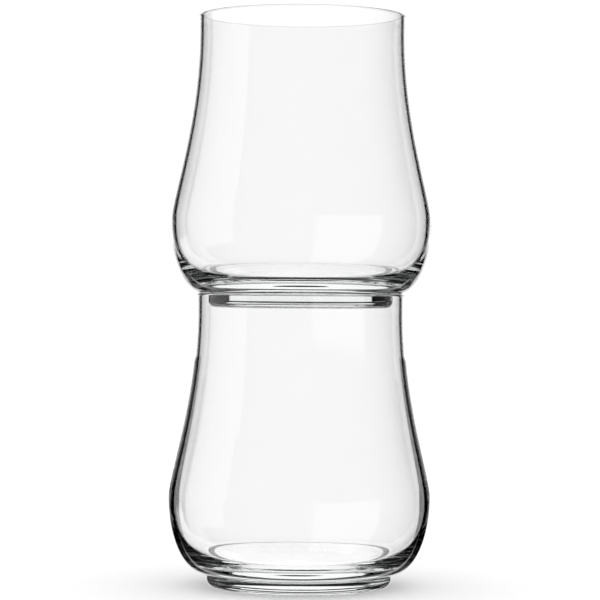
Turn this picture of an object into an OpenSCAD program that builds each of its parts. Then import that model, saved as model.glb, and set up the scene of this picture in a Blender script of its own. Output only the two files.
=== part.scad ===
// Two stackable mixing tumblers: the foot of the upper one stands in the mouth
// of the lower one, and its shoulder rests on the lower rim.
// Each glass is one piece, a body of revolution about Z. Millimetres, +Z up,
// origin at the centre of the lower foot's base.

/* [Overall] */
// Height of one glass
glass_h = 100.5; // [85:0.5:125]
// Outer diameter of the belly
belly_d = 90; // [84:0.5:110]
// Height of the belly's widest level
belly_z = 30.2; // [25:0.1:36]

/* [Mouth] */
// Outer diameter of the rim
rim_d = 71.4; // [69:0.1:80]
// Wall at the rim, which is rounded over its whole thickness
rim_wall = 1.65; // [1.2:0.05:2.2]
// Length of the straight, cylindrical stretch below the rim
mouth_len = 6; // [4.5:0.5:12]

/* [Flank] */
// How far the belly's upright direction holds above its widest level
belly_rise = 8; // [5:0.5:12]
// How far the belly's upright direction holds below its widest level
belly_drop = 8; // [5:0.5:12]
// How far the mouth's upright direction holds below the straight stretch
neck_drop = 31; // [20:0.5:36]
// Wall at the belly
belly_wall = 1.9; // [1.4:0.05:2.6]

/* [Foot] */
// Height of the foot below the shoulder
foot_h = 4.7; // [4:0.1:5.5]
// Share of the way out to the belly that the shoulder's level direction holds
shoulder_share = 0.77; // [0.55:0.01:0.85]
// Radius of the foot's lower edge
foot_edge_r = 2.6; // [1.2:0.1:3.2]
// Radius in the corner between the foot and the shoulder
foot_neck_r = 0.4; // [0.3:0.1:0.7]
// Width of the ring the glass stands on, from the foot's side to the dish
ring_w = 5; // [4:0.5:9]
// Depth of the shallow dish at its middle
dish_depth = 0.5; // [0.3:0.1:0.8]

/* [Bowl] */
// Height of the floor's edge above the table
floor_z = 9.7; // [8.5:0.1:12]
// How much higher the floor is at its middle
floor_rise = 0.9; // [0.3:0.1:1.5]
// How far the floor's edge lies outside the foot
floor_overhang = 1.5; // [-2:0.1:2]
// Share of the way out to the wall that the floor's level direction holds
floor_share = 0.43; // [0.1:0.01:0.6]
// How far the inner wall's upright direction holds below the belly
bowl_drop = 13.8; // [9:0.1:16]

/* [Stacking] */
// Free gap all round between the foot and the mouth it stands in
foot_clearance = 2.25; // [1.5:0.05:4]
// Free gap between the lower rim and the upper shoulder
seat_gap = 0.15; // [0.1:0.05:0.3]

/* [Hidden] */
$fn = 180;
glass_colour = [0.86, 0.93, 0.93, 0.35];
curve_steps = 28;
arc_steps = 8;
dish_steps = 10;
seat_steps = 600;

rim_r = rim_d / 2;
mouth_r = rim_r - rim_wall;
lip_r = rim_wall / 2;
lip_z = glass_h - lip_r;
belly_r = belly_d / 2;
bowl_r = belly_r - belly_wall;
foot_r = mouth_r - foot_clearance;
floor_r = foot_r + floor_overhang;
floor_reach = floor_share * (bowl_r - floor_r);
dish_r = foot_r - ring_w;
straight_z = glass_h - mouth_len;

// A point t of the way along the cubic curve with ends a and d and handles b and c
function cubic(a, b, c, d, t) =
    pow(1 - t, 3) * a + 3 * pow(1 - t, 2) * t * b + 3 * (1 - t) * t * t * c + t * t * t * d;

// The curve's points after its start, up to its end
function run(a, b, c, d) =
    [for (i = [1 : curve_steps]) cubic(a, b, c, d, i / curve_steps)];

// Points on an arc about centre c, from angle a0 to angle a1, ends included
function arc(c, r, a0, a1, steps) =
    [for (i = [0 : steps]) c + r * [cos(a0 + (a1 - a0) * i / steps), sin(a0 + (a1 - a0) * i / steps)]];

// The shallow dish under the foot, from the axis out to the standing ring
dish_line = [for (i = [0 : dish_steps])
    [dish_r * i / dish_steps, dish_depth * pow(cos(90 * i / dish_steps), 2)]];

// The foot's lower edge, and the corner where its side turns into the shoulder
foot_edge = arc([foot_r - foot_edge_r, foot_edge_r], foot_edge_r, -90, 0, arc_steps);
foot_neck = arc([foot_r + foot_neck_r, foot_h - foot_neck_r], foot_neck_r, 180, 90, arc_steps);

// Outer flank: out along the shoulder, round the belly and up to the mouth
shoulder_start = [foot_r + foot_neck_r, foot_h];
shoulder_end = shoulder_start + [shoulder_share * (belly_r - shoulder_start[0]), 0];
belly_low = [belly_r, belly_z - belly_drop];
belly_wide = [belly_r, belly_z];
shoulder = run(shoulder_start, shoulder_end, belly_low, belly_wide);
flank = run(
    belly_wide,
    [belly_r, belly_z + belly_rise],
    [rim_r, straight_z - neck_drop],
    [rim_r, straight_z]);

// Rounded lip
lip = arc([rim_r - lip_r, lip_z], lip_r, 0, 180, arc_steps * 2);

// Inner face: down the mouth, round the belly and in along the floor
bowl_side = run(
    [mouth_r, straight_z],
    [mouth_r, straight_z - neck_drop],
    [bowl_r, belly_z + belly_rise],
    [bowl_r, belly_z]);
bowl_floor = run(
    [bowl_r, belly_z],
    [bowl_r, belly_z - bowl_drop],
    [floor_r + floor_reach, floor_z],
    [floor_r, floor_z]);

// The floor swells a little from its edge to the axis
floor_line = [for (i = [1 : dish_steps])
    [floor_r * (1 - i / dish_steps), floor_z + floor_rise * pow(sin(90 * i / dish_steps), 2)]];

glass_line = concat(
    dish_line, foot_edge, foot_neck, shoulder, flank, lip,
    [[mouth_r, straight_z]], bowl_side, bowl_floor, floor_line);

// Height of the lip's surface at radius r
function lip_top(r) = lip_z + sqrt(max(0, pow(lip_r, 2) - pow(r - rim_r + lip_r, 2)));

// The upper glass stands at the height where its shoulder clears the lip by the gap
seat_z = seat_gap + max([for (i = [0 : seat_steps])
    let (p = cubic(shoulder_start, shoulder_end, belly_low, belly_wide, i / seat_steps))
    if (p[0] > mouth_r && p[0] < rim_r) lip_top(p[0]) - p[1]]);

module glass() {
    rotate_extrude() polygon(glass_line);
}

module lower_glass() {
    color(glass_colour) glass();
}

module upper_glass() {
    color(glass_colour) translate([0, 0, seat_z]) glass();
}

lower_glass();
upper_glass();
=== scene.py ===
import math

import bpy
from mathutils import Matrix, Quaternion, Vector


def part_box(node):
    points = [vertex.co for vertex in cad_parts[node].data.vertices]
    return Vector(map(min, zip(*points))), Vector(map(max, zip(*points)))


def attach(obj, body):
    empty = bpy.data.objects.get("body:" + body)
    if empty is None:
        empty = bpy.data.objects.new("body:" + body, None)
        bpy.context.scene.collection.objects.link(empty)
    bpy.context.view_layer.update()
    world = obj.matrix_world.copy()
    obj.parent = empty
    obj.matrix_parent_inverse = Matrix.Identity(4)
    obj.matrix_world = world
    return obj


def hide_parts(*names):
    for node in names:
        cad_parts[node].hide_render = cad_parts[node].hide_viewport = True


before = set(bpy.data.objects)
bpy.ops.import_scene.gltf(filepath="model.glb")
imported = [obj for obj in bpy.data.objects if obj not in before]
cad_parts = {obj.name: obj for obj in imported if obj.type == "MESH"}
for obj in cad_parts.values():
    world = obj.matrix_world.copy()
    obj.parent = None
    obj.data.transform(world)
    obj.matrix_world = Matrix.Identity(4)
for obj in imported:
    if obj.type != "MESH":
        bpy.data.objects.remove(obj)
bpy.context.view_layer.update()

print("frame loaded:", ", ".join(sorted(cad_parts)))


def selectNothing():
    if bpy.context.mode != "OBJECT":
        bpy.ops.object.mode_set(mode="OBJECT")
    bpy.ops.object.select_all(action="DESELECT")


class Sums:  # short names for Math nodes in one tree
    def __init__(self, tree):
        self.tree = tree

    def do(self, operation, *values):
        node = self.tree.nodes.new("ShaderNodeMath")
        node.operation = operation
        for socket, value in zip(node.inputs, values):
            if isinstance(value, (int, float)):
                socket.default_value = value
            else:
                self.tree.links.new(value, socket)
        return node.outputs[0]

    def ramp(self, value, low, high):  # 0 below low, 1 above high, smooth between
        node = self.tree.nodes.new("ShaderNodeMapRange")
        node.interpolation_type = "SMOOTHSTEP"
        self.tree.links.new(value, node.inputs["Value"])
        node.inputs["From Min"].default_value = low
        node.inputs["From Max"].default_value = high
        return node.outputs["Result"]


glassShape = {  # metres, for one glass standing on its own; its height and width come from the frame
    "mouthRadius": 0.03405,
    "rimRadius": 0.0357,
    "mouthLength": 0.006,  # straight stretch below the rim
    "neckDrop": 0.031,  # how far the mouth's upright direction holds
    "bellyLevel": 0.0302,  # height of the widest place
    "bellyRise": 0.008,
    "bellyDrop": 0.008,
    "bellyWall": 0.0019,
    "footRadius": 0.0318,
    "footHeight": 0.0047,
    "footEdge": 0.0026,  # radius of the foot's lower edge
    "footNeck": 0.0004,  # radius in the corner under the shoulder
    "shoulderReach": 0.00986,  # how far the shoulder's level direction holds
    "dishRadius": 0.0268,
    "dishDepth": 0.0005,
    "floorLevel": 0.0097,
    "floorRise": 0.0009,  # the floor is this much higher at its middle
    "floorRadius": 0.0333,
    "floorReach": 0.00421,  # how far the floor's level direction holds
    "bowlDrop": 0.0138,  # how far the inner wall's upright direction holds
    "curveSteps": 48,
    "arcSteps": 12,
    "turns": 192,  # facets round the axis
    "weld": 1e-6,  # points closer than this are one
}


def curvePoints(a, b, c, d, steps):  # a cubic curve from a to d, without its start
    points = []
    for i in range(1, steps + 1):
        t = i / steps
        s = 1 - t
        points.append(s**3 * a + 3 * s * s * t * b + 3 * s * t * t * c + t**3 * d)
    return points


def arcPoints(centre, radius, start, end, steps):
    points = []
    for i in range(steps + 1):
        angle = math.radians(start + (end - start) * i / steps)
        points.append(centre + radius * Vector((math.cos(angle), math.sin(angle))))
    return points


def straightPoints(a, b):  # close to each end, so that a flat stays flat under smooth shading
    return [a + (b - a) * t for t in (0.02, 0.5, 0.98)]


def glassOutline(shape, height, bellyRadius):
    rim = shape["rimRadius"]
    mouth = shape["mouthRadius"]
    lip = (rim - mouth) / 2
    straight = height - shape["mouthLength"]
    belly = shape["bellyLevel"]
    inner = bellyRadius - shape["bellyWall"]
    foot = shape["footRadius"]
    edge = shape["footEdge"]
    neck = shape["footNeck"]
    footTop = shape["footHeight"]
    floor = shape["floorLevel"]
    steps = shape["curveSteps"]
    arcs = shape["arcSteps"]

    outline = []
    for i in range(arcs + 1):  # shallow dish, from the axis out
        share = i / arcs
        rise = shape["dishDepth"] * math.cos(math.radians(90 * share)) ** 2
        outline.append(Vector((shape["dishRadius"] * share, rise)))
    outline += arcPoints(Vector((foot - edge, edge)), edge, -90, 0, arcs)
    outline += straightPoints(outline[-1], Vector((foot, footTop - neck)))
    outline += arcPoints(Vector((foot + neck, footTop - neck)), neck, 180, 90, arcs)
    start = outline[-1]
    widest = Vector((bellyRadius, belly))
    under = start + Vector((shape["shoulderReach"], 0))
    outline += curvePoints(start, under, widest - Vector((0, shape["bellyDrop"])), widest, steps)
    rise = Vector((0, shape["bellyRise"]))
    drop = Vector((0, shape["neckDrop"]))
    top = Vector((rim, straight))
    outline += curvePoints(widest, widest + rise, top - drop, top, steps)
    outline += straightPoints(top, Vector((rim, height - lip)))
    outline += arcPoints(Vector((rim - lip, height - lip)), lip, 0, 180, arcs * 2)
    top = Vector((mouth, straight))
    outline += straightPoints(outline[-1], top) + [top]
    widest = Vector((inner, belly))
    outline += curvePoints(top, top - drop, widest + rise, widest, steps)
    level = Vector((shape["floorRadius"], floor))
    inward = level + Vector((shape["floorReach"], 0))
    outline += curvePoints(widest, widest - Vector((0, shape["bowlDrop"])), inward, level, steps)
    for i in range(1, arcs + 1):  # the floor swells a little towards its middle
        share = i / arcs
        rise = shape["floorRise"] * math.sin(math.radians(90 * share)) ** 2
        outline.append(Vector((level.x * (1 - share), floor + rise)))
    return outline


def spinGlass(name, outline, lift):
    selectNothing()
    first = Vector((outline[0].x, 0, outline[0].y + lift))
    bpy.ops.mesh.primitive_plane_add(size=0.001, location=first)
    piece = bpy.context.active_object
    piece.name = name
    bpy.ops.object.transform_apply(location=True, rotation=True, scale=True)
    bpy.ops.object.mode_set(mode="EDIT")
    bpy.ops.mesh.select_all(action="SELECT")
    bpy.ops.mesh.merge(type="CENTER")
    for here, there in zip(outline, outline[1:]):
        step = there - here
        bpy.ops.mesh.extrude_region_move(TRANSFORM_OT_translate={"value": (step.x, 0, step.y)})
    bpy.ops.mesh.select_all(action="SELECT")
    turns = glassShape["turns"]
    bpy.ops.mesh.spin(steps=turns, angle=math.radians(360), center=(0, 0, 0), axis=(0, 0, 1))
    bpy.ops.mesh.select_all(action="SELECT")
    bpy.ops.mesh.remove_doubles(threshold=glassShape["weld"])
    bpy.ops.mesh.normals_make_consistent(inside=False)
    bpy.ops.object.mode_set(mode="OBJECT")
    bpy.ops.object.shade_smooth()
    return piece


glassLook = {
    "ior": 1.52,
    "tint": (1.0, 1.0, 1.0, 1),
    "depthColour": (0.80, 0.92, 0.88, 1),
    "depthDensity": 2.0,  # per metre of glass
    "ringHeight": 0.0003,  # how far up the standing ring is scuffed
    "ringRough": 0.35,
    "scuffScale": 900.0,
    "scuffDetail": 3,
    "scuffEdge": (0.42, 0.62),  # where the noise starts to scuff, and where it scuffs in full
}


def clearGlass(name, lift):
    material = bpy.data.materials.new(name)
    material.use_nodes = True
    tree = material.node_tree
    sums = Sums(tree)
    shader = tree.nodes["Principled BSDF"]
    shader.inputs["Base Color"].default_value = glassLook["tint"]
    shader.inputs["IOR"].default_value = glassLook["ior"]
    shader.inputs["Transmission Weight"].default_value = 1.0
    place = tree.nodes.new("ShaderNodeTexCoord")
    parts = tree.nodes.new("ShaderNodeSeparateXYZ")
    tree.links.new(place.outputs["Object"], parts.inputs[0])
    above = sums.do("SUBTRACT", parts.outputs["Z"], lift)
    worn = sums.do("LESS_THAN", above, glassLook["ringHeight"])
    squares = [sums.do("POWER", parts.outputs[axis], 2) for axis in ("X", "Y")]
    across = sums.do("SQRT", sums.do("ADD", *squares))
    worn = sums.do("MULTIPLY", worn, sums.do("GREATER_THAN", across, glassShape["dishRadius"]))
    scuffs = tree.nodes.new("ShaderNodeTexNoise")
    scuffs.inputs["Scale"].default_value = glassLook["scuffScale"]
    scuffs.inputs["Detail"].default_value = glassLook["scuffDetail"]
    tree.links.new(place.outputs["Object"], scuffs.inputs["Vector"])
    patchy = sums.ramp(scuffs.outputs["Fac"], *glassLook["scuffEdge"])
    rough = sums.do("MULTIPLY", sums.do("MULTIPLY", worn, patchy), glassLook["ringRough"])
    tree.links.new(rough, shader.inputs["Roughness"])
    depth = tree.nodes.new("ShaderNodeVolumeAbsorption")
    depth.inputs["Color"].default_value = glassLook["depthColour"]
    depth.inputs["Density"].default_value = glassLook["depthDensity"]
    output = tree.nodes["Material Output"]
    tree.links.new(depth.outputs["Volume"], output.inputs["Volume"])
    return material


def makeGlasses():
    for node, body in (("lower_glass", "lower"), ("upper_glass", "upper")):
        low, high = (Vector(corner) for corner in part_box(node))
        outline = glassOutline(glassShape, high.z - low.z, high.x)
        piece = spinGlass(node + "_clear", outline, low.z)
        piece.data.materials.append(clearGlass(body + "Glass", low.z))
        piece.visible_shadow = False  # clear glass keeps the floor bright
        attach(piece, body)
        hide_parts(node)
        print("glass made:", node, len(piece.data.polygons), "faces")


studio = {
    "floorSize": 40.0,
    "floorColour": (0.9, 0.9, 0.9, 1),
    "fill": 1.25,  # light on the floor
    "backdrop": 1.05,  # what shows beside the glasses
    "bright": 1.1,  # the lit parts that show in the glass
    "dark": 0.01,  # the rest
    "bounces": 24,
    "mirrors": 12,
}


def makeFloor():
    selectNothing()
    bpy.ops.mesh.primitive_plane_add(size=studio["floorSize"], location=(0, 0, 0))
    floor = bpy.context.active_object
    floor.name = "floor"
    floor.visible_transmission = False
    floor.visible_glossy = False
    material = bpy.data.materials.new("paleFloor")
    material.use_nodes = True
    shader = material.node_tree.nodes["Principled BSDF"]
    shader.inputs["Base Color"].default_value = studio["floorColour"]
    shader.inputs["Roughness"].default_value = 1.0
    shader.inputs["Specular IOR Level"].default_value = 0.0
    floor.data.materials.append(material)
    print("floor made")


# The lit parts of the surroundings, in degrees: bearing from +Y towards +X, half width, lowest
# and highest elevation, and then how many steps of a ray see them
lobes = (
    (0, 36, -90, 27, 20),
    (-90, 32, -20, 35, 5),
    (-45, 32, -60, -6, 5),
    (135, 32, -60, 6, 5),
)
lobeLook = {
    "soft": 2.0,  # degrees over which a lit part fades out, to each side
    "sideReach": 10,  # lobes that reach less far show through the glass only
    "nearest": 2.5,  # their least number of steps, so that the glass's face doesn't mirror them
    "farReach": 9,  # the most steps of a clear view through both glasses
}

# Dark cards on both sides behind the glasses, in metres, that show only through the glass
cards = (
    {"distance": 0.10, "inner": 0.065, "outer": 0.0775, "low": -0.4, "high": 0.078, "glow": 0.0},
    {"distance": 0.10, "inner": 0.0775, "outer": 0.0875, "low": 0.03, "high": 0.078, "glow": 0.12},
    {"distance": 0.10, "inner": 0.0775, "outer": 0.0875, "low": -0.4, "high": 0.03, "glow": 0.0},
    {"distance": 0.10, "inner": 0.0875, "outer": 0.20, "low": -0.4, "high": 0.078, "glow": 0.0},
    {"distance": 0.25, "inner": 0.109, "outer": 0.32, "low": -0.4, "high": 0.035, "glow": 0.0},
    {"distance": 0.25, "inner": 0.15, "outer": 0.32, "low": 0.035, "high": 0.2, "glow": 0.0},
    {"distance": 0.204, "inner": 0.1245, "outer": 0.30, "low": 0.07, "high": 0.7, "glow": 0.0},
)
cardLook = {
    "turns": (0, 90),  # degrees about the axis, one set of cards at each
    "askew": 0.22,  # a card is clear to rays further off square than this
}

sideGlow = {  # beside the upper glass, for rays that bounce about in its thick corner
    "distance": 0.12,
    "back": 0.08,
    "width": 0.18,
    "low": 0.10,
    "high": 0.155,
    "glow": 0.75,
    "depth": 8,  # the least number of steps of a ray that sees it
}


def cardCoat(glow, depth):  # clear to rays that come in askew, or have taken too few steps
    coat = bpy.data.materials.new("card")
    coat.use_nodes = True
    tree = coat.node_tree
    tree.nodes.clear()
    sums = Sums(tree)
    face = tree.nodes.new("ShaderNodeEmission")
    face.inputs["Strength"].default_value = glow
    clear = tree.nodes.new("ShaderNodeBsdfTransparent")
    mix = tree.nodes.new("ShaderNodeMixShader")
    output = tree.nodes.new("ShaderNodeOutputMaterial")
    if depth:
        path = tree.nodes.new("ShaderNodeLightPath")
        away = sums.do("LESS_THAN", path.outputs["Ray Depth"], depth - 0.5)
    else:
        slant = tree.nodes.new("ShaderNodeLayerWeight")
        slant.inputs["Blend"].default_value = 0.5
        away = sums.do("GREATER_THAN", slant.outputs["Facing"], cardLook["askew"])
    tree.links.new(away, mix.inputs[0])
    tree.links.new(face.outputs[0], mix.inputs[1])
    tree.links.new(clear.outputs[0], mix.inputs[2])
    tree.links.new(mix.outputs[0], output.inputs["Surface"])
    return coat


def hangSheet(place, width, height, angle, coat):
    selectNothing()
    bpy.ops.mesh.primitive_plane_add(size=1)
    sheet = bpy.context.active_object
    sheet.name = "card"
    sheet.scale = (width, height, 1)
    sheet.rotation_euler = (math.radians(90), 0, angle)
    sheet.location = place
    sheet.visible_camera = False
    sheet.visible_diffuse = False
    sheet.visible_shadow = False
    sheet.data.materials.append(coat)


def makeCards():
    for card in cards:
        coat = cardCoat(card["glow"], 0)
        width = card["outer"] - card["inner"]
        height = card["high"] - card["low"]
        for turn in cardLook["turns"]:
            angle = math.radians(turn)
            for side in (-1, 1):
                x = side * (card["inner"] + width / 2)
                y = card["distance"]
                place = (
                    x * math.cos(angle) - y * math.sin(angle),
                    x * math.sin(angle) + y * math.cos(angle),
                    card["low"] + height / 2,
                )
                hangSheet(place, width, height, angle, coat)
    coat = cardCoat(sideGlow["glow"], sideGlow["depth"])
    height = sideGlow["high"] - sideGlow["low"]
    for side in (-1, 1):
        y = sideGlow["back"] - sideGlow["width"] / 2
        place = (side * sideGlow["distance"], y, sideGlow["low"] + height / 2)
        hangSheet(place, sideGlow["width"], height, math.radians(90), coat)
    print("cards hung")


def makeWorld():
    world = bpy.data.worlds.new("studio")
    bpy.context.scene.world = world
    world.use_nodes = True
    tree = world.node_tree
    tree.nodes.clear()
    sums = Sums(tree)
    place = tree.nodes.new("ShaderNodeTexCoord")
    parts = tree.nodes.new("ShaderNodeSeparateXYZ")
    tree.links.new(place.outputs["Generated"], parts.inputs[0])
    turned = sums.do("ARCTAN2", parts.outputs["X"], parts.outputs["Y"])
    bearing = sums.do("MULTIPLY", turned, 180 / math.pi)
    elevation = sums.do("MULTIPLY", sums.do("ARCSINE", parts.outputs["Z"]), 180 / math.pi)
    path = tree.nodes.new("ShaderNodeLightPath")
    depth = path.outputs["Ray Depth"]
    soft = lobeLook["soft"]
    far = sums.do("LESS_THAN", depth, lobeLook["farReach"] + 0.5)
    clearView = sums.do("MULTIPLY", sums.do("MODULO", depth, 2), far)  # odd if it mirrors nowhere
    total = None
    for centre, half, low, high, reach in lobes:
        part = sums.do("LESS_THAN", depth, reach + 0.5)
        if reach < lobeLook["sideReach"]:
            part = sums.do("MAXIMUM", part, clearView)
            part = sums.do("MULTIPLY", part, sums.do("GREATER_THAN", depth, lobeLook["nearest"]))
            part = sums.do("MULTIPLY", part, path.outputs["Is Transmission Ray"])
        away = sums.do("ABSOLUTE", sums.do("WRAP", sums.do("SUBTRACT", bearing, centre), 180, -180))
        beyond = sums.ramp(away, half - soft, half + soft)
        part = sums.do("MULTIPLY", part, sums.do("SUBTRACT", 1, beyond))
        if low > -90:
            part = sums.do("MULTIPLY", part, sums.ramp(elevation, low - soft, low + soft))
        above = sums.ramp(elevation, high - soft, high + soft)
        part = sums.do("MULTIPLY", part, sums.do("SUBTRACT", 1, above))
        total = part if total is None else sums.do("MAXIMUM", total, part)
    bright = sums.do("MULTIPLY", total, studio["bright"] - studio["dark"])
    studioLight = sums.do("ADD", bright, studio["dark"])
    bent = path.outputs["Is Transmission Ray"]
    seenInGlass = sums.do("MAXIMUM", bent, path.outputs["Is Glossy Ray"])  # passed or mirrored
    plain = sums.do(
        "ADD",
        sums.do("MULTIPLY", path.outputs["Is Camera Ray"], studio["backdrop"] - studio["fill"]),
        studio["fill"],
    )
    level = sums.do(
        "ADD",
        sums.do("MULTIPLY", seenInGlass, studioLight),
        sums.do("MULTIPLY", sums.do("SUBTRACT", 1, seenInGlass), plain),
    )
    background = tree.nodes.new("ShaderNodeBackground")
    output = tree.nodes.new("ShaderNodeOutputWorld")
    background.inputs["Color"].default_value = (1, 1, 1, 1)
    tree.links.new(level, background.inputs["Strength"])
    tree.links.new(background.outputs[0], output.inputs["Surface"])
    print("surroundings lit")


cameraPlace = {
    "distance": 0.83,
    "height": 0.1014,
    "aimHeight": 0.0983,
    "aimSide": -0.0002,
    "width": 0.2065,  # metres across the picture at the glass
    "roll": 0.4,  # degrees
    "sensor": 36,  # millimetres
    "nearest": 0.01,
    "furthest": 100,
}


def makeCamera():
    place = Vector((0, -cameraPlace["distance"], cameraPlace["height"]))
    aim = Vector((cameraPlace["aimSide"], 0, cameraPlace["aimHeight"]))
    bpy.ops.object.camera_add(location=place)
    camera = bpy.context.active_object
    level = (aim - place).to_track_quat("-Z", "Y")
    roll = Quaternion((0, 0, 1), math.radians(cameraPlace["roll"]))
    camera.rotation_euler = (level @ roll).to_euler()
    camera.data.sensor_width = cameraPlace["sensor"]
    camera.data.lens = cameraPlace["sensor"] * (aim - place).length / cameraPlace["width"]
    camera.data.clip_start = cameraPlace["nearest"]
    camera.data.clip_end = cameraPlace["furthest"]
    bpy.context.scene.camera = camera
    print("camera placed")


makeCamera()
makeGlasses()
makeFloor()
makeCards()
makeWorld()
scene = bpy.context.scene
scene.view_settings.view_transform = "Standard"
scene.cycles.max_bounces = studio["bounces"]
scene.cycles.transmission_bounces = studio["bounces"]
scene.cycles.glossy_bounces = studio["mirrors"]
print("scene complete")
